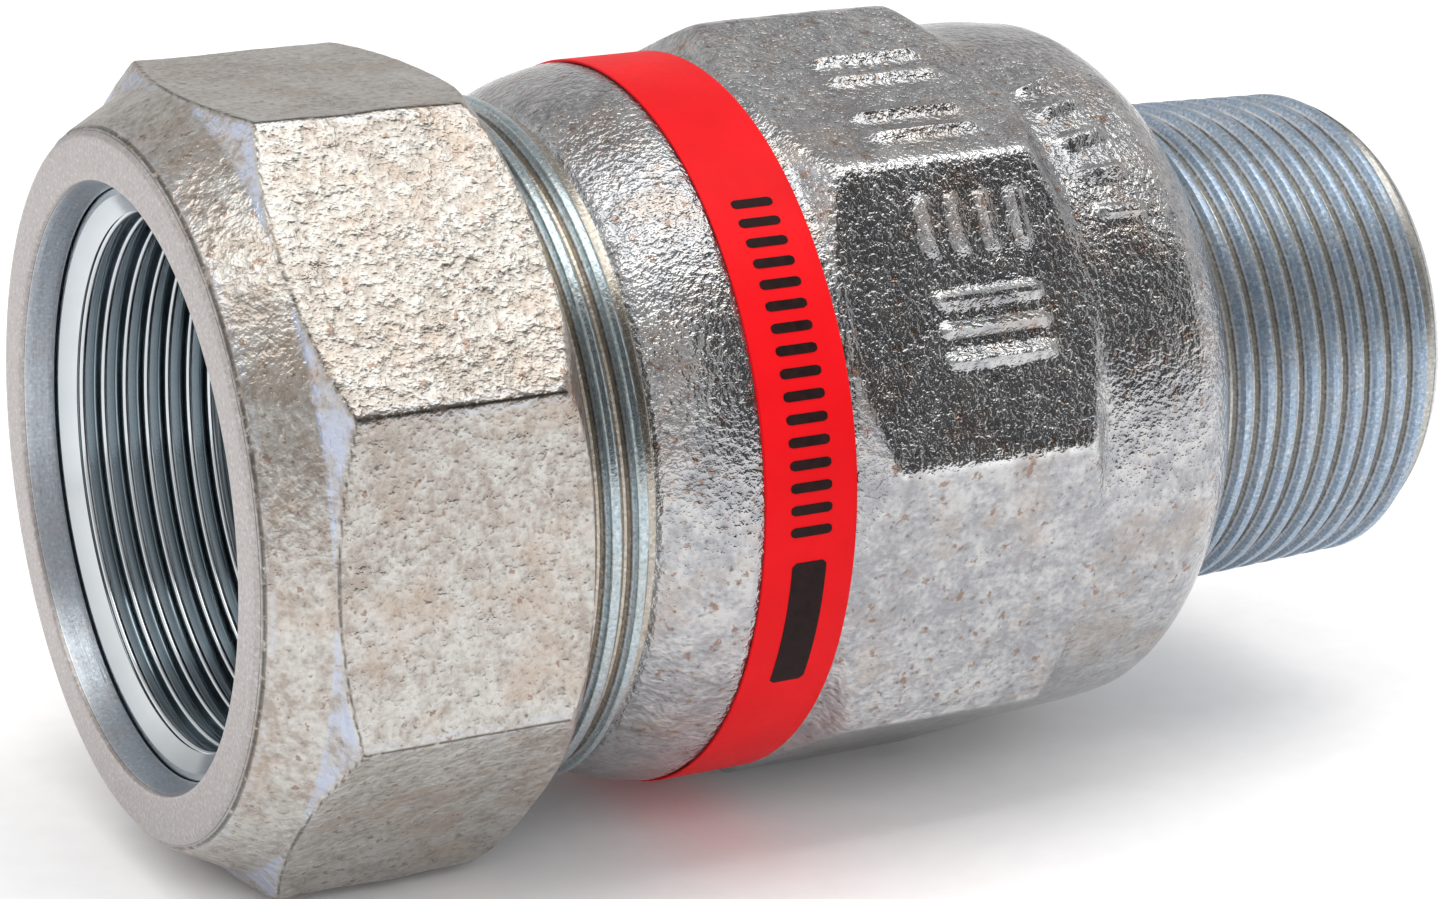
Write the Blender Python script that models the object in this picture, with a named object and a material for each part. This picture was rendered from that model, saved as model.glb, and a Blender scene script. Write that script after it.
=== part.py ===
"""Clamp connector for plain-ended steel pipe, with a male taper pipe thread.

A pipe slides into the nut's mouth.  Turning the nut draws it along the body's
thread, which pushes a toothed split ring and a thrust ring against a rubber
seal in the body.  The far end of the body is a 1 1/4 inch taper pipe thread.

The axis lies along +X, from the nut's mouth to the threaded end, with the
origin on the axis at mid-length.  +Z is up, and the nut stands on one flat.
Run with: blender --background --python part.py
"""
import math

import bmesh
import bpy
from mathutils import Vector

MM = 0.001

# Driving dimensions.  Stations are distances along the axis from the mouth.
LENGTH = 113.0 * MM
PIPE_RADIUS = 21.2 * MM             # the steel pipe that it takes, 42.4 mm across
FIT_GAP = 0.3 * MM                  # between faces that touch on the real thing
EDGE = 0.4 * MM                     # chamfer on machined edges

NUT_LENGTH = 26.0 * MM
NUT_ACROSS_FLATS = 62.2 * MM
NUT_MOUTH_RADIUS = 23.8 * MM
NUT_MOUTH_LENGTH = 2.5 * MM
NUT_FACE_RADIUS = 28.3 * MM
NUT_FLARE_END = 5.1 * MM
NUT_FLATS_START = 7.2 * MM
NUT_FLATS_END = 23.6 * MM
NUT_RING_ROOM = 7.6 * MM            # where the bore is wide enough for the rings
NUT_THREAD_START = 14.2 * MM

BODY_START = 17.5 * MM
BODY_ACROSS_FLATS = 59.4 * MM
BODY_RADIUS = 29.8 * MM
BODY_FLATS_TURN = math.radians(17.8)    # from the nut's flats, about +X
FLATS_START = 49.6 * MM
RIDGES_END = 69.4 * MM
FLATS_END = 71.9 * MM
COLLAR_START = 33.2 * MM
COLLAR_TOP = 42.0 * MM
COLLAR_ROUND = 14.0 * MM
DOME_ROUND_START = 78.7 * MM
DOME_ROUND = 9.5 * MM
DOME_END = 88.6 * MM

NUT_THREAD_RADIUS = 28.0 * MM
NUT_THREAD_END = 31.6 * MM
THREAD_PITCH = 2.309 * MM           # 11 threads to the inch, on both threads
THREAD_DEPTH = 1.2 * MM

PIPE_THREAD_START = 89.4 * MM
PIPE_THREAD_GAUGE = 100.0 * MM      # where the taper thread has its named size
PIPE_THREAD_RADIUS = 20.955 * MM
PIPE_THREAD_TAPER = 1 / 32          # radius lost per length
PIPE_THREAD_RUN_OUT = 1.3 * MM
THROUGH_BORE = 17.0 * MM
THROUGH_BORE_START = 84.0 * MM
BORE_RELIEF = 2.6 * MM              # how much wider the bore is behind the pipe's stop
BORE_RELIEF_END = 78.0 * MM

SEAT_RADIUS = 25.2 * MM             # the body's mouth, where the rings slide
SEAT_CONE_START = 24.6 * MM
SEAT_CONE_END = 34.6 * MM
PIPE_SOCKET = 22.0 * MM
PIPE_STOP = 68.0 * MM

CLAMP_START = 2.9 * MM
CLAMP_END = 17.2 * MM
CLAMP_OUTSIDE = 24.8 * MM
CLAMP_FACE_RADIUS = 24.1 * MM
TOOTH_RADIUS = 21.3 * MM
TOOTH_COUNT = 7
TOOTH_DEPTH = 1.0 * MM
TOOTH_LAND = 0.3                    # shares of the tooth pitch
TOOTH_BACK = 0.9
CLAMP_CONE_END = 8.2 * MM
CLAMP_SLOT = 4.0 * MM

THRUST_THICKNESS = 3.0 * MM
SEAL_START = 23.9 * MM
SEAL_END = 33.2 * MM
BAND_START = 40.9 * MM
BAND_END = 49.0 * MM
BAND_THICKNESS = 0.3 * MM

SEGMENTS = 36
ARC_STEPS = 5
SMOOTH_BELOW = math.radians(28)
WELD = 0.001 * MM
BEYOND = 60 * MM                    # outside everything, for the cutters

# A thread's outline over one pitch: share of the pitch, share of the depth.
THREAD_FORM = ((0.0, 0.0), (0.38, 1.0), (0.62, 1.0))


def clear_scene():
    """Remove every object of the scene that the script runs in."""
    for item in list(bpy.data.objects):
        bpy.data.objects.remove(item, do_unlink=True)


def material(name, color, metallic, roughness):
    """Principled material of one colour."""
    made = bpy.data.materials.new(name)
    made.use_nodes = True
    shader = made.node_tree.nodes["Principled BSDF"]
    shader.inputs["Base Color"].default_value = (*color, 1.0)
    shader.inputs["Metallic"].default_value = metallic
    shader.inputs["Roughness"].default_value = roughness
    made.diffuse_color = (*color, 1.0)
    return made


def add_object(name, mesh, finish=None):
    """Put a mesh in the scene, with its finish."""
    item = bpy.data.objects.new(name, mesh)
    bpy.context.collection.objects.link(item)
    if finish:
        mesh.materials.append(finish)
    return item


def arc(center, radius, start_deg, end_deg, steps=ARC_STEPS):
    """Points of an arc in the (station, radius) plane."""
    points = []
    for step in range(steps + 1):
        angle = math.radians(start_deg + (end_deg - start_deg) * step / steps)
        points.append((center[0] + radius * math.cos(angle), center[1] + radius * math.sin(angle)))
    return points


class Thread:
    """A right-hand thread on an outside surface, as one stretch of a section."""

    def __init__(self, start, end, crest):
        self.start = start
        self.end = end
        self.crest = crest          # crest radius at a station
        self.laps = math.ceil((end - start) / THREAD_PITCH)

    def points(self, turn):
        """Section points after a share of one turn, so that the crests climb."""
        found = []
        for lap in range(-1, self.laps + 1):
            for share, height in THREAD_FORM:
                station = self.start + THREAD_PITCH * (lap + share + turn)
                if not self.start < station < self.end:
                    height = 0.0
                    station = min(max(station, self.start), self.end)
                found.append((station, self.crest(station) - THREAD_DEPTH * (1 - height)))
        return found


def section_at(section, turn):
    """All points of a section, with each thread's points at their place."""
    points = []
    for item in section:
        if isinstance(item, Thread):
            points.extend(item.points(turn))
        else:
            points.append(item)
    return points


def turned_mesh(name, section):
    """Turn a closed section about the X axis; it runs out along the outside
    and back along the bore."""
    shape = bmesh.new()
    columns = []
    for step in range(SEGMENTS + 1):
        turn = step / SEGMENTS
        angle = 2 * math.pi * turn
        column = []
        for station, radius in section_at(section, turn):
            place = (station - LENGTH / 2, radius * math.cos(angle), radius * math.sin(angle))
            column.append(shape.verts.new(place))
        columns.append(column)
    for left, right in zip(columns, columns[1:]):
        for index in range(len(left)):
            following = (index + 1) % len(left)
            shape.faces.new((left[index], left[following], right[following], right[index]))
    bmesh.ops.remove_doubles(shape, verts=shape.verts, dist=WELD)
    bmesh.ops.recalc_face_normals(shape, faces=shape.faces)
    mesh = bpy.data.meshes.new(name)
    shape.to_mesh(mesh)
    shape.free()
    mesh.shade_smooth()
    mesh.set_sharp_from_angle(angle=SMOOTH_BELOW)
    return mesh


def cut(item, cutter):
    """Take a hidden cutter away from an object."""
    cutter.hide_render = True
    cutter.display_type = "WIRE"
    step = item.modifiers.new("cut " + cutter.name, "BOOLEAN")
    step.operation = "DIFFERENCE"
    step.solver = "EXACT"
    step.object = cutter


def flats_cutter(name, start, end, across_flats, turn):
    """A thick sleeve with an octagonal hole, which leaves eight flats."""
    shape = bmesh.new()
    corner = across_flats / 2 / math.cos(math.pi / 8)
    rings = []
    for station, radius in ((start, corner), (end, corner), (end, BEYOND), (start, BEYOND)):
        ring = []
        for side in range(8):
            angle = turn + math.pi * (side + 0.5) / 4
            place = (station - LENGTH / 2, radius * math.cos(angle), radius * math.sin(angle))
            ring.append(shape.verts.new(place))
        rings.append(ring)
    for first, second in zip(rings, rings[1:] + rings[:1]):
        for side in range(8):
            beside = (side + 1) % 8
            shape.faces.new((first[side], first[beside], second[beside], second[side]))
    bmesh.ops.recalc_face_normals(shape, faces=shape.faces)
    mesh = bpy.data.meshes.new(name)
    shape.to_mesh(mesh)
    shape.free()
    return add_object(name, mesh)


def box_cutter(name, low, high):
    """A plain block between two corners."""
    shape = bmesh.new()
    bmesh.ops.create_cube(shape, size=1.0)
    for vert in shape.verts:
        for axis in range(3):
            vert.co[axis] = high[axis] if vert.co[axis] > 0 else low[axis]
    mesh = bpy.data.meshes.new(name)
    shape.to_mesh(mesh)
    shape.free()
    return add_object(name, mesh)


def corner_radius(across_flats):
    """Radius just outside the corners of an octagon."""
    return across_flats / 2 / math.cos(math.pi / 8) + EDGE


def make_nut(finish):
    """Octagonal union nut: flared front, flats, and a bore that holds the rings."""
    corner = corner_radius(NUT_ACROSS_FLATS)
    flat = NUT_ACROSS_FLATS / 2
    ring_space = SEAT_RADIUS + FIT_GAP / 3
    thread_space = NUT_THREAD_RADIUS + FIT_GAP
    section = [
        (0.0, NUT_MOUTH_RADIUS + EDGE),
        (0.0, NUT_FACE_RADIUS - EDGE),
        (EDGE, NUT_FACE_RADIUS),
        (NUT_FLARE_END, flat - EDGE / 4),
        (NUT_FLATS_START, corner),
        (NUT_FLATS_END, corner),
        (NUT_LENGTH, flat - EDGE),
        (NUT_LENGTH, thread_space + EDGE),
        (NUT_LENGTH - EDGE, thread_space),
        (NUT_THREAD_START, thread_space),
        (NUT_THREAD_START, ring_space),
        (NUT_RING_ROOM, ring_space),
        (NUT_MOUTH_LENGTH, NUT_MOUTH_RADIUS),
        (EDGE, NUT_MOUTH_RADIUS),
    ]
    nut = add_object("nut", turned_mesh("nut", section), finish)
    cut(nut, flats_cutter("nut flats", -EDGE, NUT_LENGTH + EDGE, NUT_ACROSS_FLATS, 0.0))
    return nut


def pipe_thread_crest(station):
    """Crest radius of the taper thread."""
    return PIPE_THREAD_RADIUS + (PIPE_THREAD_GAUGE - station) * PIPE_THREAD_TAPER


def make_body(finish):
    """Body casting: nut thread, round collar, flats, dome and pipe thread."""
    corner = corner_radius(BODY_ACROSS_FLATS)
    nut_thread_root = NUT_THREAD_RADIUS - THREAD_DEPTH
    pipe_thread_root = pipe_thread_crest(PIPE_THREAD_START) - THREAD_DEPTH
    end_root = pipe_thread_crest(LENGTH) - THREAD_DEPTH
    band_bed = BODY_RADIUS - EDGE
    relief = THROUGH_BORE + BORE_RELIEF
    section = [
        (BODY_START, SEAT_RADIUS + EDGE),
        (BODY_START, nut_thread_root - EDGE),
        (BODY_START + EDGE, nut_thread_root),
        Thread(BODY_START + 2 * EDGE, NUT_THREAD_END, lambda station: NUT_THREAD_RADIUS),
        (COLLAR_START, nut_thread_root),
    ]
    section += arc((COLLAR_TOP, BODY_RADIUS - COLLAR_ROUND), COLLAR_ROUND, 127, 95)
    section += [
        (BAND_START - FIT_GAP, BODY_RADIUS),
        (BAND_START - FIT_GAP, band_bed),
        (BAND_END + FIT_GAP, band_bed),
        (BAND_END + FIT_GAP, BODY_RADIUS),
        (FLATS_START, BODY_RADIUS),
        (FLATS_START + corner - BODY_RADIUS, corner),
        (RIDGES_END, corner),
        (FLATS_END, BODY_RADIUS),
    ]
    section += arc((DOME_ROUND_START, BODY_RADIUS - DOME_ROUND), DOME_ROUND, 90, 6)
    section += [
        (DOME_END, pipe_thread_root + EDGE),
        (PIPE_THREAD_START - EDGE, pipe_thread_root),
        Thread(PIPE_THREAD_START, LENGTH - PIPE_THREAD_RUN_OUT, pipe_thread_crest),
        (LENGTH, end_root - EDGE / 2),
        (LENGTH, THROUGH_BORE),
        (THROUGH_BORE_START, THROUGH_BORE),
        (BORE_RELIEF_END, relief),
        (PIPE_STOP, relief),
        (PIPE_STOP, PIPE_SOCKET),
        (SEAT_CONE_END, PIPE_SOCKET),
        (SEAT_CONE_START, SEAT_RADIUS),
        (BODY_START + EDGE, SEAT_RADIUS),
    ]
    body = add_object("body", turned_mesh("body", section), finish)
    cut(body, flats_cutter("body flats", FLATS_START, FLATS_END, BODY_ACROSS_FLATS,
                           BODY_FLATS_TURN))
    return body


def make_clamp_ring(finish):
    """Hardened split ring with saw teeth in its bore, which bite into the pipe."""
    lead_in = 1.2 * MM
    pitch = (CLAMP_END - CLAMP_START - lead_in) / TOOTH_COUNT
    section = [
        (CLAMP_START, TOOTH_RADIUS + TOOTH_DEPTH + EDGE),
        (CLAMP_START, CLAMP_FACE_RADIUS - EDGE),
        (CLAMP_START + EDGE, CLAMP_FACE_RADIUS - EDGE / 2),
        (CLAMP_CONE_END, CLAMP_OUTSIDE),
        (CLAMP_END - EDGE, CLAMP_OUTSIDE),
        (CLAMP_END, CLAMP_OUTSIDE - EDGE),
        (CLAMP_END, TOOTH_RADIUS + TOOTH_DEPTH),
    ]
    for tooth in reversed(range(TOOTH_COUNT)):
        start = CLAMP_START + lead_in + pitch * tooth
        section.append((start + TOOTH_BACK * pitch, TOOTH_RADIUS + TOOTH_DEPTH))
        section.append((start + TOOTH_LAND * pitch, TOOTH_RADIUS))
        section.append((start, TOOTH_RADIUS))
    ring = add_object("clamp_ring", turned_mesh("clamp_ring", section), finish)
    low = (-BEYOND, -BEYOND, -CLAMP_SLOT / 2)
    high = (BEYOND, -TOOTH_RADIUS / 2, CLAMP_SLOT / 2)
    cut(ring, box_cutter("clamp slot", low, high))
    return ring


def make_thrust_ring(finish):
    """Flat steel ring between the toothed ring and the seal."""
    start = CLAMP_END + FIT_GAP
    end = start + THRUST_THICKNESS
    outside = SEAT_RADIUS - FIT_GAP
    inside = PIPE_RADIUS + EDGE
    section = [
        (start, inside), (start, outside - EDGE), (start + EDGE, outside),
        (end - EDGE, outside), (end, outside - EDGE), (end, inside),
    ]
    return add_object("thrust_ring", turned_mesh("thrust_ring", section), finish)


def make_seal_ring(finish):
    """Rubber ring in the body's conical seat."""
    inside = PIPE_RADIUS + EDGE / 2
    slope = (SEAT_RADIUS - PIPE_SOCKET) / (SEAT_CONE_END - SEAT_CONE_START)
    outside = SEAT_RADIUS - FIT_GAP
    outside_at_end = outside - slope * (SEAL_END - SEAT_CONE_START)
    section = [
        (SEAL_START, inside), (SEAL_START, outside - EDGE), (SEAL_START + EDGE, outside),
        (SEAT_CONE_START, outside), (SEAL_END, outside_at_end), (SEAL_END, inside),
    ]
    return add_object("seal_ring", turned_mesh("seal_ring", section), finish)


def make_band(finish):
    """Adhesive identification band round the body."""
    inside = BODY_RADIUS - FIT_GAP / 3
    outside = inside + BAND_THICKNESS
    section = [(BAND_START, inside), (BAND_START, outside), (BAND_END, outside), (BAND_END, inside)]
    return add_object("colour_band", turned_mesh("colour_band", section), finish)


def axis_empty(name, parent=None):
    """An empty on the axis, which carries the pieces that move together."""
    empty = bpy.data.objects.new(name, None)
    empty.empty_display_size = 10 * MM
    empty.location = Vector((0.0, 0.0, 0.0))
    empty.parent = parent
    bpy.context.collection.objects.link(empty)
    return empty


def main():
    """Build the connector as it is supplied, with its nut run on by hand."""
    clear_scene()
    casting = material("galvanised casting", (0.62, 0.60, 0.56), 0.85, 0.42)
    toothed = material("bright steel", (0.50, 0.53, 0.56), 1.0, 0.22)
    washer = material("zinc plated steel", (0.66, 0.67, 0.68), 1.0, 0.35)
    rubber = material("black rubber", (0.02, 0.02, 0.02), 0.0, 0.6)
    red = material("red film", (0.78, 0.01, 0.02), 0.0, 0.4)

    make_body(casting)
    make_seal_ring(rubber)
    make_band(red)
    travel = axis_empty("ring travel")
    make_clamp_ring(toothed).parent = travel
    make_thrust_ring(washer).parent = travel
    make_nut(casting).parent = axis_empty("nut turn", travel)


main()
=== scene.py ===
"""Looks of the clamp connector for plain-ended steel pipe.

Every piece but the band's print is one closed grid: its rows follow the
section, its columns go round the axis, and threads, flats and raised bars
move the grid's points.
Lengths are in millimetres until a mesh is made.  A station is the distance
from the nut's mouth, and an angle goes round the axis from the -Y side
towards +Z.
"""

import math

import bmesh
import bpy
import numpy as np
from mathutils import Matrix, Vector, noise


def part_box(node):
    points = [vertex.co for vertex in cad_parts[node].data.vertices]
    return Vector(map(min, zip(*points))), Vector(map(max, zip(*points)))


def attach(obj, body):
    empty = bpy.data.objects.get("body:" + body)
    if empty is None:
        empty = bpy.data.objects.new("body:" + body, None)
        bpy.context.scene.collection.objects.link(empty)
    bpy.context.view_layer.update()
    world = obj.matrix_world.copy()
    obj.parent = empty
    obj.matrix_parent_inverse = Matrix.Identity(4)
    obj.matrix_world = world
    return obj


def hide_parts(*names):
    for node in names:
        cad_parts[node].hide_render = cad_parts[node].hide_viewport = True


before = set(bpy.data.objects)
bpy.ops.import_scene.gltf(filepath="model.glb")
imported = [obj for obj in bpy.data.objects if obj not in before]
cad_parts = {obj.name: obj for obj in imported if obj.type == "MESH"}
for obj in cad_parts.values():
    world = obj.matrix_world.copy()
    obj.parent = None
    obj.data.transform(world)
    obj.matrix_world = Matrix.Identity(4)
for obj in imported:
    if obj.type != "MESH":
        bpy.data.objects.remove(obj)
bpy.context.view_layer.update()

MM = 0.001
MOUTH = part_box("nut")[0].x / MM             # where station 0 is, in the row frame
NUT_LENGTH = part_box("nut")[1].x / MM - MOUTH
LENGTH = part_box("body")[1].x / MM - MOUTH
BODY_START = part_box("body")[0].x / MM - MOUTH
BAND = [corner.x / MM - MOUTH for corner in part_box("colour_band")]
CLAMP = [corner.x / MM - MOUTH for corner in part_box("clamp_ring")]
THRUST = [corner.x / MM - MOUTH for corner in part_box("thrust_ring")]
SEAL = [corner.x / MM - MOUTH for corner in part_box("seal_ring")]
FLOOR_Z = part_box("body")[0].z               # the object stands on its lowest corner

EIGHTH = math.pi / 4                        # turn from one flat to the next
NUT_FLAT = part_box("nut")[1].z / MM          # half the distance across flats
NUT_BORE = 25.3                             # where the rings sit in the nut
BODY_FLAT = 29.7
BODY_FLATS_ANGLE = math.radians(27.2)
BODY_RADIUS = 29.8
FLATS = (49.6, 52.2, 69.2, 71.9)            # start, whole from, whole to, end
DOME_ROUND = 9.5                            # from the body's flats down to the pipe thread
DOME_ROUND_MIDDLE = (78.7, 20.3)            # station and radius
SEAT_RADIUS = 25.2                          # the body's mouth, then its cone
SEAT_CONE = (24.6, 34.6)
PIPE_SOCKET = 22.0
PIPE_STOP = 68.0
RELIEF_RADIUS = 19.6                        # behind the stop
THROUGH_BORE = 17.0

PITCH = 2.309                               # 11 threads to the inch, on both threads
THREAD_DEPTH = 1.2
NUT_THREAD_RADIUS = 28.0
NUT_THREAD_PHASE = BODY_START + 0.2
NUT_THREAD_END = 32.6
PIPE_THREAD_START = 89.4
PIPE_THREAD_END = LENGTH - 1.0
PIPE_THREAD_GAUGE = 100.0                   # where the taper thread has its named size
PIPE_THREAD_RADIUS = 20.955

TOOTH_COUNT = 7
TOOTH_LEAD = 1.2                            # smooth start of the ring's bore, before its teeth
BAND_FILM = (29.71, 29.93)                  # radius inside and outside
BAND_INK = (29.90, 29.975)

# One pitch of a thread: share of the pitch, share of the depth.
THREAD_OUTLINE = (
    (0.0, 0.0), (0.085, 0.06), (0.29, 0.84), (0.345, 0.97), (0.42, 1.0), (0.58, 1.0),
    (0.655, 0.97), (0.71, 0.84), (0.915, 0.06),
)

# One tooth from its back to its front: share of the pitch, radius, crest (a low crest gets painted
# shade).
TOOTH_OUTLINE = (
    (0.985, 22.15, 0.5), (0.95, 22.27, 0.0), (0.90, 22.30, 0.0), (0.84, 22.24, 0.0),
    (0.34, 21.42, 0.1), (0.27, 21.33, 0.6), (0.21, 21.30, 1.0), (0.15, 21.33, 1.0),
    (0.09, 21.42, 1.0), (0.05, 21.55, 1.0), (0.02, 21.72, 0.9),
)

# Raised bars on the casting.  A group has the angle of its middle, its height
# and the width of its sloping edge.  A bar has its centre and its size, both
# along the axis and then across it, its rounding, and its lean in degrees.
CAST_BARS = (
    (27.2, 0.62, 0.34, (
        *(((station, 6.8), (0.9, 4.6), 0.4, 0) for station in (58.6, 61.4, 64.2, 67.0)),
        *(((62.8, across), (9.4, 0.9), 0.4, 0) for across in (0.8, -1.6, -4.0)),
    )),
    (72.2, 0.62, 0.6, (
        *(((63.0, across), (9.6, 1.0), 0.4, 0) for across in (3.6, 0.4)),
        *(((62.0, across), (9.6, 1.0), 0.4, 0) for across in (-5.2, -8.4)),
    )),
    (51.0, 0.6, 0.34, (
        ((77.0, -6.0), (4.2, 1.1), 0.5, 0), ((76.6, -2.4), (4.2, 1.1), 0.5, 6),
        ((76.4, 1.2), (4.2, 1.1), 0.5, 12), ((76.0, 4.8), (4.2, 1.1), 0.5, 18),
        ((75.4, 8.2), (4.2, 1.1), 0.5, 24),
    )),
)

# Printed bars: angle of the middle, size round the band, size along the axis.
PRINT_BARS = (
    (-18.6, 11.6, 3.0),
    *((turn, 0.8, 3.6) for turn in np.arange(-2.6, 51.0, 3.4)),
)

CAST, MACHINED, NECK = 0, 1, 2              # finishes, as material slots


# ---------------------------------------------------------------- grids

def evenly(count):
    """Angles round the axis for a piece whose seam is at the back."""
    return np.linspace(0.0, 2 * math.pi, count + 1)


def finer_between(low_deg, high_deg, fine_deg, coarse_deg):
    """Angles round the axis, closer together between two of them."""
    parts = []
    for start, end, step in ((0, low_deg, coarse_deg), (low_deg, high_deg, fine_deg),
                             (high_deg, 360, coarse_deg)):
        parts.append(np.linspace(start, end, round((end - start) / step), endpoint=False))
    parts.append(np.array([360.0]))
    return np.radians(np.concatenate(parts))


def finer_at_corners(turn_deg, near_deg, fine_deg, coarse_deg):
    """Angles round the axis, closer together at an octagon's corners."""
    corner = 22.5
    offs = [0.0]
    while offs[-1] < corner - near_deg:
        offs.append(offs[-1] + coarse_deg)
    rest = np.linspace(offs[-1], corner, max(2, round((corner - offs[-1]) / fine_deg)))
    half = np.array(offs[:-1] + rest.tolist())
    flat = np.concatenate([-half[:0:-1], half[:-1]])
    angles = np.concatenate([flat + turn_deg + 45.0 * side for side in range(8)])
    return np.radians(np.append(angles, angles[0] + 360.0))


def soft_least(first, second, sharpness):
    """The smaller of two arrays, with the edge between them rounded."""
    gap = np.abs(first - second)
    return np.minimum(first, second) - np.log1p(np.exp(-sharpness * gap)) / sharpness


def off_flat(angle, turn):
    """Angle from the middle of an octagon's nearest flat."""
    return np.abs((angle - turn + EIGHTH / 2) % EIGHTH - EIGHTH / 2)


def octagon(angle, flat, turn, sharpness):
    """Radius of an octagon with rounded corners."""
    off = off_flat(angle, turn)
    return soft_least(flat / np.cos(off), flat / np.cos(EIGHTH - off), sharpness)


def to_corner(angle, flat, turn):
    """Distance along a flat to the octagon's nearest corner."""
    return (EIGHTH / 2 - off_flat(angle, turn)) * flat


def round_line(distance, width):
    """1 on a line, falling to 0 beside it."""
    return np.exp(-(distance / width) ** 2)


def outline(corners, step):
    """Points along a line of (station, radius, rounding) corners."""
    places = [np.array(corner[:2], float) for corner in corners]
    ends = []
    for index, corner in enumerate(corners):
        here = places[index]
        size = corner[2] if 0 < index < len(corners) - 1 else 0.0
        if not size:
            ends.append([here])
            continue
        before = places[index - 1] - here
        after = places[index + 1] - here
        reach_before = min(size, 0.49 * np.linalg.norm(before))
        reach_after = min(size, 0.49 * np.linalg.norm(after))
        start = here + before / np.linalg.norm(before) * reach_before
        end = here + after / np.linalg.norm(after) * reach_after
        count = max(3, math.ceil((reach_before + reach_after) / step))
        bend = []
        for share in np.linspace(0, 1, count + 1):
            bend.append((1 - share) ** 2 * start + 2 * share * (1 - share) * here
                        + share ** 2 * end)
        ends.append(bend)
    points = list(ends[0])
    for bend in ends[1:]:
        start, end = points[-1], bend[0]
        count = max(1, math.ceil(np.linalg.norm(end - start) / step))
        for share in np.linspace(0, 1, count + 1)[1:]:
            points.append(start + (end - start) * share)
        points.extend(bend[1:])
    return points


class Grid:
    """Rows of a closed section, each with a station and a radius per angle."""

    def __init__(self, angles):
        self.angles = angles                    # about +X, from +Y
        self.around = math.pi - angles          # about the axis, from -Y towards +Z
        self.turn = angles / (2 * math.pi)
        # crest holds a level per point for the materials: the thread's height on threads, and
        # where painted shade and painted highlights go elsewhere.
        self.stations, self.radii, self.finish, self.crest = [], [], [], []

    def add(self, station, radius, finish, crest=0.5):
        """One row; numbers stand for the same value all round."""
        one = np.ones_like(self.angles)
        self.stations.append(one * station)
        self.radii.append(one * radius)
        self.crest.append(one * crest)
        self.finish.append(finish)

    def line(self, corners, step, finish, crest=0.5):
        """Rows along an outline."""
        for station, radius in outline(corners, step):
            self.add(station, radius, finish, crest)

    def thread(self, start, end, phase, crest_radius, gap=0.0, run_out=1.2, backwards=False,
               finish=MACHINED):
        """Helical rows of a right-hand thread; with a gap, of the thread that fits round it."""
        first = math.floor((start - phase) / PITCH) - 2
        last = math.ceil((end - phase) / PITCH) + 1
        steps = [(lap, share, height) for lap in range(first, last)
                 for share, height in THREAD_OUTLINE]
        for lap, share, height in reversed(steps) if backwards else steps:
            station = phase + PITCH * (lap + share + self.turn)
            inside = np.clip(np.minimum(station - start, end - station) / run_out, 0, 1)
            depth = 1 - height if gap else height
            level = inside * depth
            station = np.clip(station, start, end)
            crest = crest_radius(station)
            sunk = -level if gap else level - 1
            radius = crest + THREAD_DEPTH * sunk + gap
            self.add(station, radius, finish, level)

    def shape(self, change, rows):
        """Let a function move the rows whose numbers are given, along their own normals."""
        stations, radii = np.array(self.stations), np.array(self.radii)
        for row in rows:
            along = stations[row + 1] - stations[row - 1]
            out = radii[row + 1] - radii[row - 1]
            size = np.maximum(np.hypot(along, out), 1e-9)
            self.stations[row], self.radii[row], self.crest[row] = change(
                stations[row], radii[row], self.around, -out / size, along / size)

    def mesh(self, name, sharp_deg, ends=False):
        """The grid as a mesh, welded where rows meet; ends closes an open turn."""
        columns = len(self.angles)
        stations, radii = np.array(self.stations), np.array(self.radii)
        rows = len(stations)
        places = np.stack([
            (stations + MOUTH) * MM,
            radii * np.cos(self.angles) * MM,
            radii * np.sin(self.angles) * MM,
        ], axis=-1).reshape(-1, 3)
        low = np.arange(rows)[:, None] * columns + np.arange(columns - 1)[None, :]
        high = ((np.arange(rows) + 1) % rows)[:, None] * columns + np.arange(columns - 1)[None, :]
        quads = np.stack([low, high, high + 1, low + 1], axis=-1).reshape(-1, 4)
        faces = quads.tolist()
        finish = np.repeat(self.finish, columns - 1).tolist()
        if ends:
            faces.append((np.arange(rows) * columns).tolist())
            faces.append((np.arange(rows)[::-1] * columns + columns - 1).tolist())
            finish += [MACHINED, MACHINED]
        mesh = bpy.data.meshes.new(name)
        mesh.from_pydata(places.tolist(), [], faces)
        mesh.polygons.foreach_set("material_index", finish)
        # The crest attribute carries the levels of painted shade and painted highlight to the
        # materials.
        crest = mesh.attributes.new("crest", "FLOAT", "POINT")
        crest.data.foreach_set("value", np.array(self.crest, np.float32).ravel())
        shape = bmesh.new()
        shape.from_mesh(mesh)
        bmesh.ops.remove_doubles(shape, verts=shape.verts, dist=2e-6)
        bmesh.ops.recalc_face_normals(shape, faces=shape.faces)
        shape.to_mesh(mesh)
        shape.free()
        mesh.shade_smooth()
        mesh.set_sharp_from_angle(angle=math.radians(sharp_deg))
        return mesh


def piece(name, mesh, materials, body, slot, *nodes):
    """Put a mesh in the scene in place of CAD nodes, riding on their body."""
    made = bpy.data.objects.new(name, mesh)
    bpy.context.scene.collection.objects.link(made)
    for material in materials:
        mesh.materials.append(material)
    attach(made, body)
    if nodes:
        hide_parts(*nodes)


def cast_skin(station, radius, around, size, seed):
    """Low waves of a sand casting, from -1 to 1."""
    found = np.empty_like(station)
    for index in range(len(station)):
        place = Vector((station[index], radius[index] * math.cos(around[index]),
                        radius[index] * math.sin(around[index]) + seed))
        wide = noise.noise(place / size)
        found[index] = wide + 0.4 * noise.noise(place / size * 2.7)
    return found


# ---------------------------------------------------------------- raised marks

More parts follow.
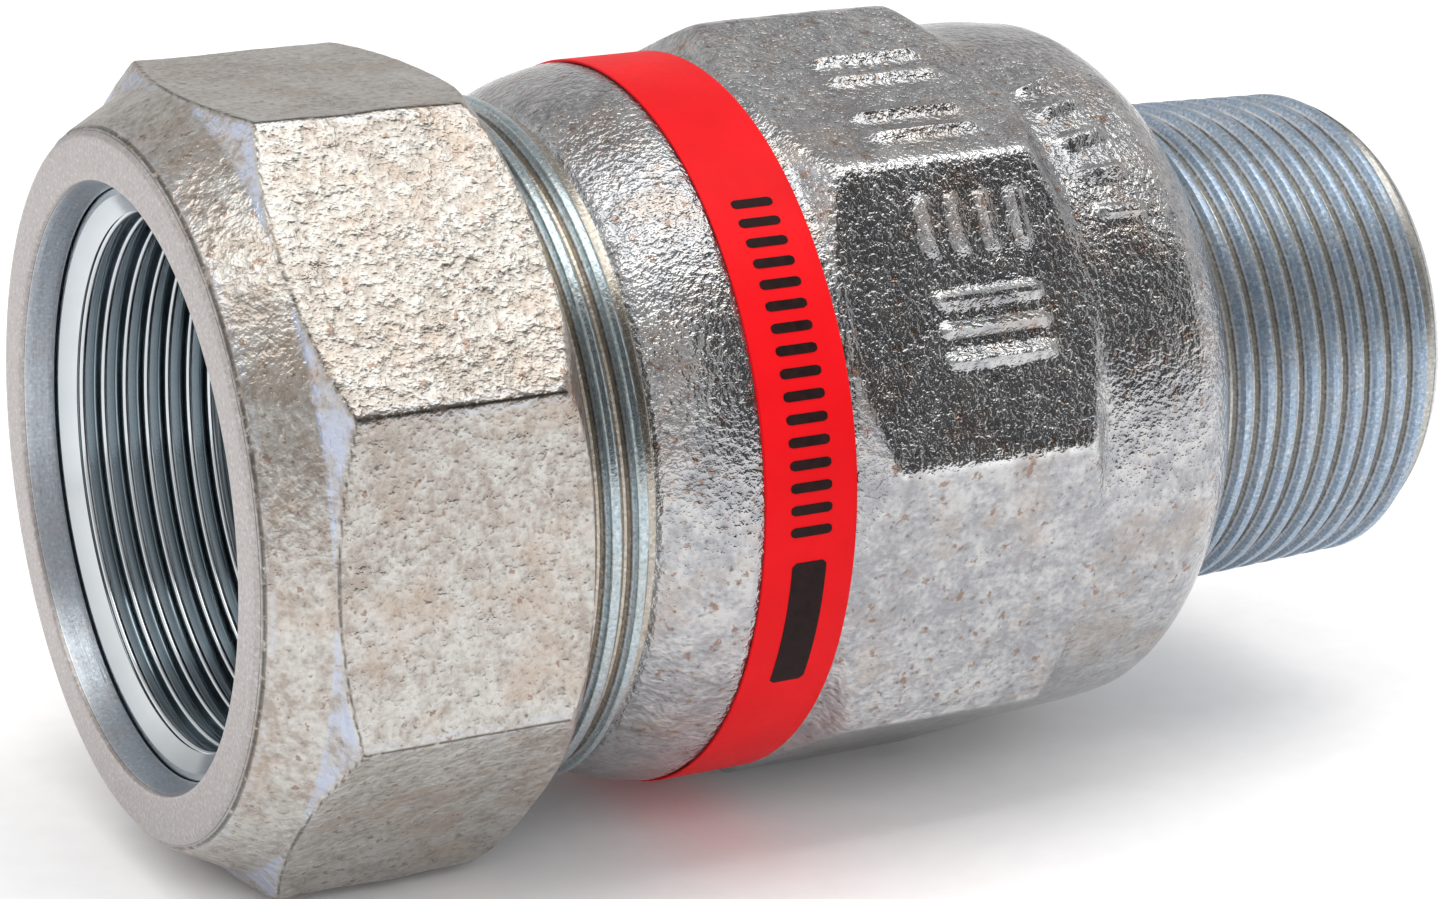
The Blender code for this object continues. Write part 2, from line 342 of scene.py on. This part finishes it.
def bar(u, v, centre, size, corner, turn_deg):
    """Distance from a rounded rectangle's edge, negative inside it."""
    turn = math.radians(turn_deg)
    across = (u - centre[0]) * math.cos(turn) + (v - centre[1]) * math.sin(turn)
    up = (v - centre[1]) * math.cos(turn) - (u - centre[0]) * math.sin(turn)
    x = np.abs(across) - size[0] / 2 + corner
    y = np.abs(up) - size[1] / 2 + corner
    return np.hypot(np.maximum(x, 0), np.maximum(y, 0)) + np.minimum(np.maximum(x, y), 0) - corner


def pad(distance, height, edge):
    """Height of a cast pad with a soft edge along the line at distance 0."""
    share = np.clip((edge - distance) / (2 * edge), 0, 1)
    return height * share * share * (3 - 2 * share)


def marks(station, around):
    """Height of the raised bars on the body."""
    height = np.zeros_like(station)
    for turn, tall, edge, bars in CAST_BARS:
        off = (around - math.radians(turn) + math.pi) % (2 * math.pi) - math.pi
        near = np.abs(off) < math.radians(24)
        across = BODY_FLAT * np.tan(np.where(near, off, 0.0))
        for centre, size, corner, lean in bars:
            found = pad(bar(station, across, centre, size, corner, lean), tall, edge)
            height = np.maximum(height, np.where(near, found, 0.0))
    return height


# ---------------------------------------------------------------- materials

class Look:
    """A node material with short calls for its nodes."""

    def __init__(self, name):
        self.material = bpy.data.materials.new(name)
        self.material.use_nodes = True
        self.tree = self.material.node_tree
        self.shader = self.tree.nodes["Principled BSDF"]
        self.place = self.node("ShaderNodeTexCoord").outputs["Object"]

    def node(self, kind, **settings):
        made = self.tree.nodes.new(kind)
        for key, value in settings.items():
            setattr(made, key, value)
        return made

    def feed(self, socket, value):
        if isinstance(value, bpy.types.NodeSocket):
            self.tree.links.new(value, socket)
        else:
            socket.default_value = value

    def noise(self, scale, detail=3.0, roughness=0.55, place=None):
        made = self.node("ShaderNodeTexNoise")
        self.feed(made.inputs["Vector"], place or self.place)
        self.feed(made.inputs["Scale"], scale)
        self.feed(made.inputs["Detail"], detail)
        self.feed(made.inputs["Roughness"], roughness)
        return made.outputs["Fac"]

    def stretched(self, scales):
        """Object coordinates stretched along the axes."""
        made = self.node("ShaderNodeMapping")
        self.feed(made.inputs["Vector"], self.place)
        made.inputs["Scale"].default_value = scales
        return made.outputs["Vector"]

    def ramp(self, value, stops):
        """Colour or grey by value; stops are (position, colour or number)."""
        made = self.node("ShaderNodeValToRGB")
        self.feed(made.inputs["Fac"], value)
        elements = made.color_ramp.elements
        while len(elements) < len(stops):
            elements.new(0.5)
        for element, (position, shade) in zip(elements, stops):
            element.position = position
            colour = shade if isinstance(shade, tuple) else (shade, shade, shade)
            element.color = (*colour, 1.0)
        return made.outputs["Color"]

    def mix(self, share, first, second, blend="MIX"):
        made = self.node("ShaderNodeMix", data_type="RGBA", blend_type=blend)
        self.feed(made.inputs["Factor"], share)
        colours = [socket for socket in made.inputs if socket.type == "RGBA"]
        for socket, value in zip(colours, (first, second)):
            self.feed(socket, (*value, 1.0) if isinstance(value, tuple) else value)
        return [socket for socket in made.outputs if socket.type == "RGBA"][0]

    def math(self, operation, first, second=0.5, third=0.5):
        made = self.node("ShaderNodeMath", operation=operation)
        for socket, value in zip(made.inputs, (first, second, third)):
            self.feed(socket, value)
        return made.outputs["Value"]

    def bump(self, height, depth, before=None):
        """Relief of a depth in metres, on top of an earlier one."""
        made = self.node("ShaderNodeBump")
        self.feed(made.inputs["Height"], height)
        made.inputs["Distance"].default_value = depth
        if before:
            self.feed(made.inputs["Normal"], before)
        return made.outputs["Normal"]

    def set(self, **values):
        for key, value in values.items():
            self.feed(self.shader.inputs[key.replace("_", " ")], value)
        return self.material


def galvanised(name, shades, stain, specks, edge, rough, relief, grain, glint):
    """Hot-dip zinc on a sand casting; the crest attribute marks its edges, where painted
    highlights and painted dark lines go.

    A stain has its colour and strength, and specks their colour and the noise
    level that they start at.  rough is the least roughness and its spread;
    relief, grain and glint are each a noise scale and a depth in metres.
    """
    look = Look(name)
    level = look.node("ShaderNodeAttribute", attribute_name="crest").outputs["Fac"]
    patches = look.noise(62.0, 4.0)
    mottle = look.noise(430.0, 4.0, 0.62)
    cast = look.noise(relief[0], 2.5, 0.5)
    fine = look.noise(grain[0], 2.0, 0.55)
    sparkle = look.noise(glint[0], 1.5, 0.6)
    tone = look.math("MULTIPLY_ADD", mottle, 0.3, look.math("MULTIPLY", patches, 0.2))
    tone = look.math("MULTIPLY_ADD", cast, 0.2, tone)
    tone = look.math("MULTIPLY_ADD", fine, 0.3, tone)
    colour = look.ramp(tone, ((0.43, shades[0]), (0.50, shades[1]), (0.57, shades[2])))
    stained = look.ramp(look.noise(150.0, 5.0, 0.7), ((0.50, 0.0), (0.64, 1.0)))
    colour = look.mix(look.math("MULTIPLY", stained, stain[1]), colour, stain[0])
    spots = look.ramp(look.noise(900.0, 3.0, 0.6), ((specks[1], 0.0), (specks[1] + 0.05, 1.0)))
    colour = look.mix(look.math("MULTIPLY", spots, 0.75), colour, specks[0])
    pits = look.ramp(look.noise(1900.0, 2.0), ((0.26, 1.0), (0.33, 0.0)))
    colour = look.mix(look.math("MULTIPLY", pits, 0.6), colour, (0.10, 0.09, 0.08))
    # Painted highlight in the edge colour where crest is high (beside the nut's corners, on its
    # chamfer, along the body's corners), broken up by the mottle.
    painted_edge_highlight = look.math("MULTIPLY", look.ramp(level, ((0.58, 0.0), (0.9, 1.0))),
                     look.ramp(mottle, ((0.40, 0.1), (0.58, 0.9))))
    colour = look.mix(painted_edge_highlight, colour, edge)
    # Painted dark line where crest is low: on the nut's corners, the chamfer's edge and the
    # mouth's rim, broken up by noise.
    painted_dark_edge_line = look.math("MULTIPLY", look.ramp(level, ((0.08, 1.0), (0.42, 0.0))),
                     look.ramp(look.noise(900.0, 3.0, 0.7), ((0.34, 0.0), (0.46, 1.0))))
    colour = look.mix(look.math("MULTIPLY", painted_dark_edge_line, 0.85), colour, (0.04, 0.04, 0.045))
    roughness = look.math("MULTIPLY_ADD", mottle, rough[1], rough[0])
    normal = look.bump(cast, relief[1])
    normal = look.bump(fine, grain[1], normal)
    normal = look.bump(sparkle, glint[1], normal)
    return look.set(Base_Color=colour, Metallic=0.92, Roughness=roughness, Normal=normal)


def machined(name, crest, groove, rough, rings, metallic, flecks):
    """Turned metal whose grooves hold a duller zinc skin, with a painted dark line and a painted
    highlight along each thread flank.

    rough is the least roughness and its spread, and rings the scale of the
    marks that the lathe left.
    """
    look = Look(name)
    level = look.node("ShaderNodeAttribute", attribute_name="crest").outputs["Fac"]
    ring_place = look.stretched((1.0, 0.04, 0.04))
    lines = look.noise(rings, 3.0, 0.7, ring_place)
    mottle = look.noise(520.0, 4.0, 0.65)
    fleck = look.noise(3200.0, 2.0, 0.6)
    # By crest: the groove colour, a painted dark line, a painted highlight, then the crest colour.
    shade = look.ramp(level, (
        (0.26, groove), (0.38, (0.13, 0.13, 0.13)), (0.52, (0.70, 0.71, 0.72)), (0.66, crest)))
    shade = look.mix(look.math("MULTIPLY", look.ramp(mottle, ((0.47, 0.0), (0.66, 1.0))), 0.35),
                     shade, groove)
    for stops, spot in (
        (((0.55, 0.0), (0.66, 1.0)), (0.80, 0.84, 0.90)),
        (((0.34, 1.0), (0.44, 0.0)), (0.10, 0.12, 0.15)),
    ):
        shade = look.mix(look.math("MULTIPLY", look.ramp(fleck, stops), 0.5 * flecks), shade, spot)
    roughness = look.math("MULTIPLY_ADD", mottle, rough[1], rough[0])
    normal = look.bump(lines, 0.000018)
    normal = look.bump(fleck, 0.00003 * flecks, normal)
    return look.set(Base_Color=shade, Metallic=metallic, Roughness=roughness, Normal=normal)


def bright_steel(name, base, rough, rings, depth, groove=None):
    """Steel straight from the lathe; with a groove colour, painted shade that darkens it where
    crest is low.
    """
    look = Look(name)
    lines = look.noise(rings, 2.0, 0.6, look.stretched((1.0, 0.02, 0.02)))
    cloud = look.noise(210.0, 3.0)
    shade = look.mix(cloud, tuple(0.8 * part for part in base), base)
    if groove:
        # Painted shade: mix towards the groove colour where crest is low.
        level = look.node("ShaderNodeAttribute", attribute_name="crest").outputs["Fac"]
        shade = look.mix(level, groove, shade)
    roughness = look.math("MULTIPLY_ADD", cloud, 0.12, rough)
    normal = look.bump(lines, depth)
    return look.set(Base_Color=shade, Metallic=1.0, Roughness=roughness, Normal=normal)


def rubber(name):
    """Moulded black rubber with a dusty bloom."""
    look = Look(name)
    bloom = look.noise(380.0, 5.0, 0.7)
    shade = look.ramp(bloom, ((0.4, (0.012, 0.012, 0.013)), (0.7, (0.04, 0.04, 0.042))))
    normal = look.bump(look.noise(2200.0, 3.0), 0.00004)
    return look.set(Base_Color=shade, Roughness=look.math("MULTIPLY_ADD", bloom, 0.3, 0.5),
                    Normal=normal)


def film(name):
    """Plastic film stretched over the casting."""
    look = Look(name)
    cloud = look.noise(160.0, 3.0)
    fine = look.noise(1800.0, 3.0)
    shade = look.ramp(cloud, ((0.3, (0.58, 0.002, 0.005)), (0.7, (0.66, 0.003, 0.007))))
    normal = look.bump(look.noise(260.0, 3.0), 0.00008)
    normal = look.bump(fine, 0.000012, normal)
    return look.set(Base_Color=shade, Roughness=look.math("MULTIPLY_ADD", fine, 0.16, 0.42),
                    Specular_IOR_Level=0.12, Normal=normal)


def ink(name):
    """Matt black print."""
    look = Look(name)
    wear = look.noise(1300.0, 4.0, 0.7)
    shade = look.ramp(wear, ((0.3, (0.006, 0.003, 0.003)), (0.75, (0.022, 0.008, 0.008))))
    normal = look.bump(wear, 0.00001)
    return look.set(Base_Color=shade, Roughness=look.math("MULTIPLY_ADD", wear, 0.2, 0.45),
                    Specular_IOR_Level=0.12, Normal=normal)


# ---------------------------------------------------------------- pieces

def nut_crest(station):
    """Crest radius of the nut's thread."""
    return np.full_like(station, NUT_THREAD_RADIUS)


def pipe_crest(station):
    """Crest radius of the taper thread, which loses 1 in 32."""
    return PIPE_THREAD_RADIUS + (PIPE_THREAD_GAUGE - station) / 32


def ridge(distance, dark, bright):
    """Painted light along an edge: 0 on the ridge for a painted dark line, 0.75 beside it for a
    painted highlight, 0.5 away from it.
    """
    beside = round_line(distance - bright, 0.7 * bright)
    return 0.5 + 0.25 * beside - 0.5 * round_line(distance, dark)


def make_nut(cast, turned):
    """Octagonal union nut with a machined mouth and its own thread."""
    grid = Grid(finer_at_corners(0.0, 3.4, 0.36, 1.25))
    corner = NUT_FLAT / math.cos(EIGHTH / 2) + 0.5
    grid.line(((0.3, 24.15, 0), (0.0, 24.3, 0.2), (0.0, 27.7, 0.15), (0.2, 28.0, 0)),
              0.5, MACHINED, 0.2)
    first = len(grid.stations)
    grid.line((
        (0.3, 28.1, 0), (0.75, 28.5, 0.2), (5.1, 30.95, 0.35), (7.25, corner, 0.4),
        (23.4, corner, 2.2), (NUT_LENGTH, 31.4, 1.8), (NUT_LENGTH, 28.95, 0),
    ), 0.40, CAST)
    last = len(grid.stations) - 2
    grid.line(((NUT_LENGTH, 28.8, 0), (25.3, 28.2, 0)), 0.4, MACHINED)
    grid.thread(15.0, 25.2, NUT_THREAD_PHASE, nut_crest, gap=0.2, backwards=True)
    grid.line((
        (14.4, 28.2, 0), (14.2, 28.0, 0), (14.2, NUT_BORE + 0.2, 0), (14.0, NUT_BORE, 0),
        (7.6, NUT_BORE, 0.8), (CLAMP[0] + 0.1, 24.0, 0.1), (CLAMP[0] - 0.15, 23.5, 0.12),
        (0.5, 24.05, 0),
    ), 0.6, MACHINED, 0.8)

    def change(station, radius, around, along, out):
        sides = octagon(around, NUT_FLAT, 0.0, 9.0)
        on_flat = np.clip((radius - sides) / 0.25 + 0.5, 0, 1) > 0.5
        chamfer = (station > 4.9) & (station < 8.0)
        # The third value sets painted light on the zinc: painted dark lines along the corners, the
        # chamfer's edge and the mouth's rim, painted highlights beside them, and a painted
        # highlight over the chamfer.
        finish = np.where(on_flat, ridge(to_corner(around, NUT_FLAT, 0.0), 0.22, 0.42), 0.5)
        finish = np.where(~on_flat & chamfer, 0.92, finish)
        finish = np.where(chamfer, finish * (1 - 0.9 * round_line(radius - sides, 0.22)), finish)
        finish = np.where(station < 2.0, ridge(np.abs(station - 0.5), 0.22, 0.42), finish)
        radius = soft_least(radius, sides, 8.0) + 0.06
        skin = cast_skin(station, radius, around, 6.5, 11.0) * 0.12
        roughness = 0.02 + 0.10 * round_line(station - 0.8, 0.5)
        skin += cast_skin(station, radius, around, 0.9, 5.0) * roughness
        ease = np.clip((station - 0.25) / 0.3, 0, 1) * np.clip((NUT_LENGTH - station) / 0.8, 0, 1)
        skin = skin * ease
        return station + along * skin, np.minimum(radius, sides + 0.02) + out * skin, finish

    grid.shape(change, range(first, last))
    piece("union_nut", grid.mesh("union_nut", 40), (cast, turned), "union_nut", "casting", "nut")


def make_body(cast, turned, neck):
    """Body casting with both male threads and the cast marks."""
    grid = Grid(finer_between(80, 186, 0.7, 2.3))
    corner = BODY_FLAT / math.cos(EIGHTH / 2) + 0.3
    bed = BODY_RADIUS - 0.14
    root = NUT_THREAD_RADIUS - THREAD_DEPTH
    grid.line((
        (17.9, SEAT_RADIUS, 0), (BODY_START, 25.6, 0), (BODY_START, 26.4, 0), (17.9, root, 0),
    ), 0.8, MACHINED)
    grid.thread(BODY_START + 0.6, NUT_THREAD_END, NUT_THREAD_PHASE, nut_crest, run_out=0.7,
                finish=NECK)
    grid.line(((32.7, root, 0), (33.0, root, 0)), 0.6, NECK, 0.0)
    first = len(grid.stations)
    grid.line((
        (33.1, root + 0.05, 0), (33.4, root + 0.5, 0.4), (36.4, 28.9, 2.6),
        (BAND[0] - 0.6, 29.75, 1.0), (BAND[0] - 0.1, bed, 0.3), (BAND[1] + 0.1, bed, 0.3),
    ), 0.5, CAST)
    grid.line((
        (BAND[1] + 0.3, BODY_RADIUS, 0), (FLATS[0], BODY_RADIUS, 0.8), (FLATS[1], corner, 1.2),
        (FLATS[2], corner, 1.2), (FLATS[3], BODY_RADIUS, 1.0), (77.6, BODY_RADIUS - 0.05, 2.5),
        (81.5, 29.3, 2.0),
    ), 0.4, CAST)
    for angle in np.radians(np.linspace(68, 8, 22)):
        grid.add(DOME_ROUND_MIDDLE[0] + DOME_ROUND * math.cos(angle),
                 DOME_ROUND_MIDDLE[1] + DOME_ROUND * math.sin(angle), CAST)
    last = len(grid.stations) - 1
    pipe_root = float(pipe_crest(PIPE_THREAD_START)) - THREAD_DEPTH
    grid.line(((88.5, pipe_root + 0.3, 0), (89.0, pipe_root, 0)), 0.5, MACHINED)
    grid.thread(PIPE_THREAD_START - 0.2, PIPE_THREAD_END, PIPE_THREAD_START, pipe_crest,
                run_out=1.0)
    end = float(pipe_crest(LENGTH)) - THREAD_DEPTH
    grid.line((
        (LENGTH - 0.6, end, 0), (LENGTH, end - 0.5, 0), (LENGTH, THROUGH_BORE + 0.5, 0),
        (LENGTH - 0.5, THROUGH_BORE, 0), (84.0, THROUGH_BORE, 0), (78.0, RELIEF_RADIUS, 0),
        (PIPE_STOP, RELIEF_RADIUS, 0), (PIPE_STOP, PIPE_SOCKET, 0), (SEAT_CONE[1], PIPE_SOCKET, 0),
        (SEAT_CONE[0], SEAT_RADIUS, 0), (18.4, SEAT_RADIUS, 0),
    ), 6.0, MACHINED)

    def change(station, radius, around, along, out):
        sides = octagon(around, BODY_FLAT, BODY_FLATS_ANGLE, 5.0)
        edge = round_line(to_corner(around, BODY_FLAT, BODY_FLATS_ANGLE), 0.45)
        # The third value puts a painted highlight along the octagon's corners.
        finish = 0.5 + 0.45 * edge * (radius > sides - 0.05)
        weight = np.clip((station - BAND[1] - 0.2) / 1.2, 0, 1)
        radius = radius + weight * (soft_least(radius, sides, 5.0) + 0.08 - radius)
        skin = cast_skin(station, radius, around, 7.5, 3.0) * 0.11
        ease = np.clip((station - 33.2) / 1.5, 0, 1) * np.clip((88.2 - station) / 2.0, 0, 1)
        band = np.clip(np.maximum(BAND[0] - station, station - BAND[1]) / 0.6, 0, 1)
        height = skin * ease * (0.1 + 0.9 * band) + marks(station, around)
        return station + along * height, radius + out * height, finish

    grid.shape(change, range(first, last))
    piece("connector_casting", grid.mesh("connector_casting", 40), (cast, turned, neck),
          "connector_body", "casting", "body")



def make_clamp_ring(steel):
    """Split ring with saw teeth in its bore."""
    gap = math.asin(2.0 / 22.5)                 # half the slot, seen from the axis
    grid = Grid(np.linspace(math.pi + gap, 3 * math.pi - gap, 300))
    start, end = CLAMP
    pitch = (end - start - TOOTH_LEAD) / TOOTH_COUNT
    # The ring's outside and faces take crest 0.7, a little painted shade; the teeth take theirs
    # from TOOTH_OUTLINE.
    grid.line((
        (start, 22.9, 0), (start, 23.6, 0.2), (start + 0.4, 23.9, 0.3), (8.2, 24.8, 0.6),
        (end - 0.4, 24.8, 0.3), (end, 24.4, 0.2), (end, 22.35, 0),
    ), 1.2, MACHINED, 0.7)
    for tooth in reversed(range(TOOTH_COUNT)):
        base = start + TOOTH_LEAD + pitch * tooth
        for share, radius, crest in TOOTH_OUTLINE:
            grid.add(base + share * pitch, radius, MACHINED, crest)
    grid.add(start + TOOTH_LEAD - 0.1, 21.5, MACHINED, 1.0)
    piece("toothed_ring", grid.mesh("toothed_ring", 30, ends=True), (steel, steel),
          "ring_stack", "toothed_steel", "clamp_ring")


def make_thrust_ring(steel):
    """Flat ring with rounded edges."""
    grid = Grid(evenly(240))
    start, end = THRUST
    grid.line((
        (start, 22.2, 0), (start, 24.9, 0.5), (end, 24.9, 0.5), (end, 21.6, 0.5),
        (start, 21.6, 0.5), (start, 22.1, 0),
    ), 0.5, MACHINED)
    piece("pressure_ring", grid.mesh("pressure_ring", 35), (steel, steel),
          "ring_stack", "plated_steel", "thrust_ring")


def make_seal_ring(black):
    """Rubber ring with a conical back and two small lips in its bore."""
    grid = Grid(evenly(240))
    start, end = SEAL
    grid.line((
        (start, 22.6, 0), (start, 24.9, 0.6), (SEAT_CONE[0], 24.9, 0.4), (end, 22.15, 0.5),
        (end, 21.5, 0.3), (end - 2.6, 21.5, 0.4), (end - 3.4, 21.9, 0.6), (end - 5.6, 21.9, 0.6),
        (end - 6.4, 21.45, 0.4), (start, 21.45, 0.6), (start, 22.5, 0),
    ), 0.5, MACHINED)
    piece("rubber_seal", grid.mesh("rubber_seal", 35), (black, black),
          "connector_body", "rubber", "seal_ring")


def make_band(red):
    """Film round the body, whose end laps over its start at the back."""
    grid = Grid(evenly(360))
    inside, outside = BAND_FILM
    start, end = BAND[0] + 0.05, BAND[1] - 0.05
    grid.line(((start, inside, 0), (start, outside, 0.12), (end, outside, 0.12), (end, inside, 0)),
              0.8, MACHINED)

    def change(station, radius, around, along, out):
        past_lap = np.minimum((np.abs(around + 2.2) - 0.09) * 260, 700.0)
        lap = 0.05 / (1 + np.exp(past_lap))
        edge = 0.05 * np.sin(around * 3 + 1.0) + 0.03 * np.sin(around * 7)
        lapped = np.where(radius > inside + 0.05, radius + lap, radius)
        return station + edge, lapped, np.full_like(station, 0.5)

    grid.shape(change, range(1, len(grid.stations) - 1))
    piece("red_band", grid.mesh("red_band", 35), (red, red), "connector_body", "red_film",
          "colour_band")


def make_band_print(black):
    """Plain bars printed on the film, as thin closed pads."""
    shape = bmesh.new()
    middle = (BAND[0] + BAND[1]) / 2
    for centre, width, tall in PRINT_BARS:
        half = width / 2
        corner = min(0.35, half * 0.9)
        count = max(6, math.ceil(width / 0.3))
        layers = []
        for radius in BAND_INK:
            columns = []
            for share in np.linspace(-1, 1, count + 1):
                off = share * half
                over = max(abs(off) - (half - corner), 0.0)
                tip = tall / 2 - corner + math.sqrt(max(corner ** 2 - over ** 2, 0.0))
                around = math.radians(centre) + off / radius
                column = []
                for side in (-1, 1):
                    station = middle + side * tip
                    column.append(shape.verts.new((
                        (station + MOUTH) * MM,
                        -radius * math.cos(around) * MM,
                        radius * math.sin(around) * MM,
                    )))
                columns.append(column)
            layers.append(columns)
        below, above = layers
        for index in range(count):
            for near in layers:
                shape.faces.new((near[index][0], near[index][1],
                                 near[index + 1][1], near[index + 1][0]))
            for side in (0, 1):
                shape.faces.new((below[index][side], below[index + 1][side],
                                 above[index + 1][side], above[index][side]))
        for index in (0, count):
            shape.faces.new((below[index][0], below[index][1], above[index][1], above[index][0]))
    bmesh.ops.recalc_face_normals(shape, faces=shape.faces)
    mesh = bpy.data.meshes.new("band_print")
    shape.to_mesh(mesh)
    shape.free()
    mesh.shade_flat()
    piece("band_print", mesh, (black,), "connector_body", "red_film")


# ---------------------------------------------------------------- studio

def make_floor():
    """Large pale floor just under the object."""
    shape = bmesh.new()
    bmesh.ops.create_grid(shape, x_segments=8, y_segments=8, size=6.0)
    mesh = bpy.data.meshes.new("floor")
    shape.to_mesh(mesh)
    shape.free()
    floor = bpy.data.objects.new("floor", mesh)
    floor.location.z = FLOOR_Z - 0.0002
    bpy.context.scene.collection.objects.link(floor)
    look = Look("pale floor")
    grain = look.noise(300.0, 4.0)
    shade = look.ramp(grain, ((0.3, (0.86, 0.86, 0.87)), (0.7, (0.89, 0.89, 0.90))))
    mesh.materials.append(look.set(Base_Color=shade, Roughness=0.8))


def make_light(name, direction, distance, size, power, colour, mirrored=True):
    """Area light that faces the object; polished surfaces may leave it out."""
    lamp = bpy.data.lights.new(name, "AREA")
    lamp.shape = "RECTANGLE"
    lamp.size, lamp.size_y = size
    lamp.energy = power
    lamp.color = colour
    item = bpy.data.objects.new(name, lamp)
    toward = Vector(direction).normalized()
    item.location = toward * distance
    item.rotation_euler = toward.to_track_quat("Z", "Y").to_euler()
    item.visible_glossy = mirrored
    bpy.context.scene.collection.objects.link(item)


def make_world():
    """Grey studio walls: paler on the left, darker overhead, dark patches in front."""
    world = bpy.data.worlds.new("studio")
    bpy.context.scene.world = world
    world.use_nodes = True
    tree = world.node_tree
    shader = tree.nodes["Background"]
    place = tree.nodes.new("ShaderNodeTexCoord").outputs["Generated"]

    def math_node(operation, first, second=0.0):
        made = tree.nodes.new("ShaderNodeMath")
        made.operation = operation
        for socket, value in zip(made.inputs, (first, second)):
            if isinstance(value, bpy.types.NodeSocket):
                tree.links.new(value, socket)
            else:
                socket.default_value = value
        return made.outputs[0]

    def facing(direction, low, high):
        """1 where the sky's direction is near the given one, falling to 0."""
        made = tree.nodes.new("ShaderNodeVectorMath")
        made.operation = "DOT_PRODUCT"
        tree.links.new(place, made.inputs[0])
        made.inputs[1].default_value = Vector(direction).normalized()
        spread = tree.nodes.new("ShaderNodeMapRange")
        spread.interpolation_type = "SMOOTHSTEP"
        tree.links.new(made.outputs["Value"], spread.inputs["Value"])
        spread.inputs["From Min"].default_value = low
        spread.inputs["From Max"].default_value = high
        return spread.outputs["Result"]

    dark = math_node("MAXIMUM", facing((0.46, -0.72, 0.52), 0.88, 0.95),
                     facing((0.40, -0.85, 0.33), 0.82, 0.93))
    left = facing((-0.62, -0.56, 0.55), 0.90, 0.96)
    dark = math_node("MAXIMUM", dark, math_node("MULTIPLY", left, 0.25))
    overhead = facing((0.0, 0.0, 1.0), 0.3, 0.75)
    side = facing((-1.0, 0.35, 0.25), 0.6, 0.95)
    level = math_node("SUBTRACT", 0.70, math_node("MULTIPLY", overhead, 0.26))
    level = math_node("ADD", level, math_node("MULTIPLY", side, 0.5))
    lit = math_node("SUBTRACT", 1.0, math_node("MULTIPLY", dark, 0.97))
    shade = math_node("MULTIPLY", level, lit)
    tree.links.new(shade, shader.inputs["Strength"])
    shader.inputs["Color"].default_value = (1.0, 0.98, 0.97, 1.0)


def make_camera():
    """The viewpoint, in front on the left and a little above."""
    camera = bpy.data.cameras.new("camera")
    camera.lens = 104.26
    camera.sensor_width = 36.0
    camera.clip_start = 0.01
    camera.clip_end = 50.0
    item = bpy.data.objects.new("camera", camera)
    item.location = (-0.1616, -0.2970, 0.0979)
    item.rotation_euler = [math.radians(angle) for angle in (73.1504, -0.2714, -27.9578)]
    bpy.context.scene.collection.objects.link(item)
    bpy.context.scene.camera = item


def main():
    # edge is the colour of each zinc's painted edge highlights.
    nut_zinc = galvanised(
        "zinc on the nut",
        shades=((0.36, 0.32, 0.285), (0.47, 0.45, 0.42), (0.57, 0.56, 0.535)),
        stain=((0.46, 0.35, 0.27), 0.45), specks=((0.25, 0.15, 0.10), 0.63),
        edge=(0.48, 0.53, 0.66), rough=(0.22, 0.14),
        relief=(900.0, 0.00018), grain=(1900.0, 0.00010), glint=(4200.0, 0.00003))
    body_zinc = galvanised(
        "zinc on the body",
        shades=((0.315, 0.32, 0.335), (0.405, 0.41, 0.425), (0.525, 0.525, 0.525)),
        stain=((0.41, 0.32, 0.25), 0.45), specks=((0.25, 0.15, 0.10), 0.62),
        edge=(0.70, 0.71, 0.72), rough=(0.03, 0.06),
        relief=(560.0, 0.00012), grain=(1900.0, 0.00020), glint=(4400.0, 0.00003))
    threads = machined("turned zinc", crest=(0.31, 0.40, 0.51), groove=(0.44, 0.43, 0.40),
                       rough=(0.24, 0.18), rings=5200.0, metallic=0.85, flecks=0.8)
    neck = machined("turned neck", crest=(0.42, 0.50, 0.53), groove=(0.44, 0.40, 0.34),
                    rough=(0.16, 0.14), rings=5200.0, metallic=0.92, flecks=0.8)
    mouth = machined("turned mouth", crest=(0.42, 0.46, 0.51), groove=(0.40, 0.37, 0.36),
                     rough=(0.26, 0.16), rings=4200.0, metallic=0.9, flecks=0.5)
    # The teeth's groove colour is painted shade in their grooves.
    teeth = bright_steel("tooth steel", base=(0.66, 0.70, 0.73), rough=0.08, rings=3400.0,
                         depth=0.000010, groove=(0.24, 0.29, 0.32))
    plated = bright_steel("plated steel", base=(0.66, 0.67, 0.68), rough=0.26, rings=2600.0,
                          depth=0.000014)
    make_nut(nut_zinc, mouth)
    make_body(body_zinc, threads, neck)
    make_clamp_ring(teeth)
    make_thrust_ring(plated)
    make_seal_ring(rubber("black rubber"))
    make_band(film("red film"))
    make_band_print(ink("black ink"))
    make_floor()
    make_world()
    make_light("overhead", (0.0, -0.14, 0.99), 1.6, (2.6, 1.0), 18.0, (1.0, 0.995, 0.965))
    white = (1.0, 1.0, 1.0)
    make_light("floor_wash", (0.0, 0.1, 1.0), 2.5, (6.0, 6.0), 44.0, white, mirrored=False)
    make_light("front_wash", (-0.1, -0.9, 0.5), 1.5, (2.0, 1.0), 13.0, white, mirrored=False)
    make_light("right_wash", (0.9, -0.1, 0.45), 1.5, (1.4, 1.0), 5.0, white, mirrored=False)
    make_camera()


bpy.context.scene.view_settings.view_transform = "Standard"
main()
